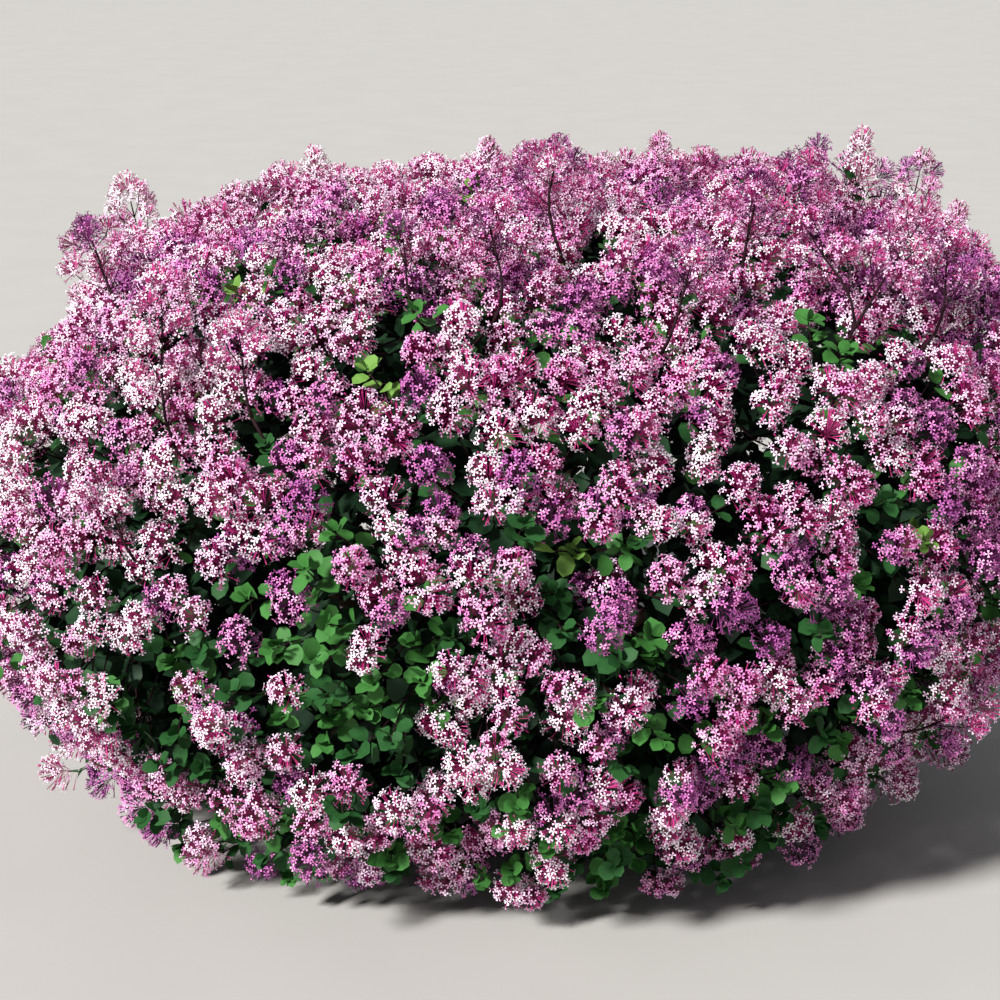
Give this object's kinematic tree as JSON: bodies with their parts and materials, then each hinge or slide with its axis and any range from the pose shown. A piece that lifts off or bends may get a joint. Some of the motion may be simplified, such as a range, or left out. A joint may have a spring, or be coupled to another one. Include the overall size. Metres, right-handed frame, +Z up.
{
  "type": "dwarf lilac bush in bloom",
  "caption": "Low, wide, rounded flowering shrub: a short main stem, a bough to each mass, and dense masses of pale pink and purple panicles over small green leaves",
  "frame": {"origin": "in the flat cut under the main stem, at ground level", "axes": "+Z up; +X to the right and -Y towards the viewer of the picture"},
  "size_m": [1.9619, 1.8234, 1.19],
  "materials": {
    "bark": "rough brown bark",
    "blossom": "matt pale pink and purple petals over green leaves",
    "leaves": "matt green leaves with scattered pale pink blossom"
  },
  "bodies": {
    "root": {"main_stem": "bark", "bough_top": "bark", "bough_upper_1": "bark", "bough_upper_2": "bark", "bough_upper_3": "bark", "bough_upper_4": "bark", "bough_upper_5": "bark", "bough_middle_1": "bark", "bough_middle_2": "bark", "bough_middle_3": "bark", "bough_middle_4": "bark", "bough_middle_5": "bark", "bough_middle_6": "bark", "bough_middle_7": "bark", "bough_low_1": "bark", "bough_low_2": "bark", "bough_low_3": "bark", "bough_low_4": "bark", "bough_low_5": "bark", "bough_low_6": "bark", "bough_low_7": "bark", "blossom_top": "blossom", "blossom_upper_1": "blossom", "blossom_upper_2": "blossom", "blossom_upper_3": "blossom", "blossom_upper_4": "blossom", "blossom_upper_5": "blossom", "blossom_middle_1": "blossom", "blossom_middle_2": "blossom", "blossom_middle_3": "blossom", "blossom_middle_4": "blossom", "blossom_middle_5": "blossom", "blossom_middle_6": "blossom", "blossom_middle_7": "blossom", "blossom_low_1": "leaves", "blossom_low_2": "leaves", "blossom_low_3": "leaves", "blossom_low_4": "leaves", "blossom_low_5": "leaves", "blossom_low_6": "leaves", "blossom_low_7": "leaves"}
  },
  "joints": []
}
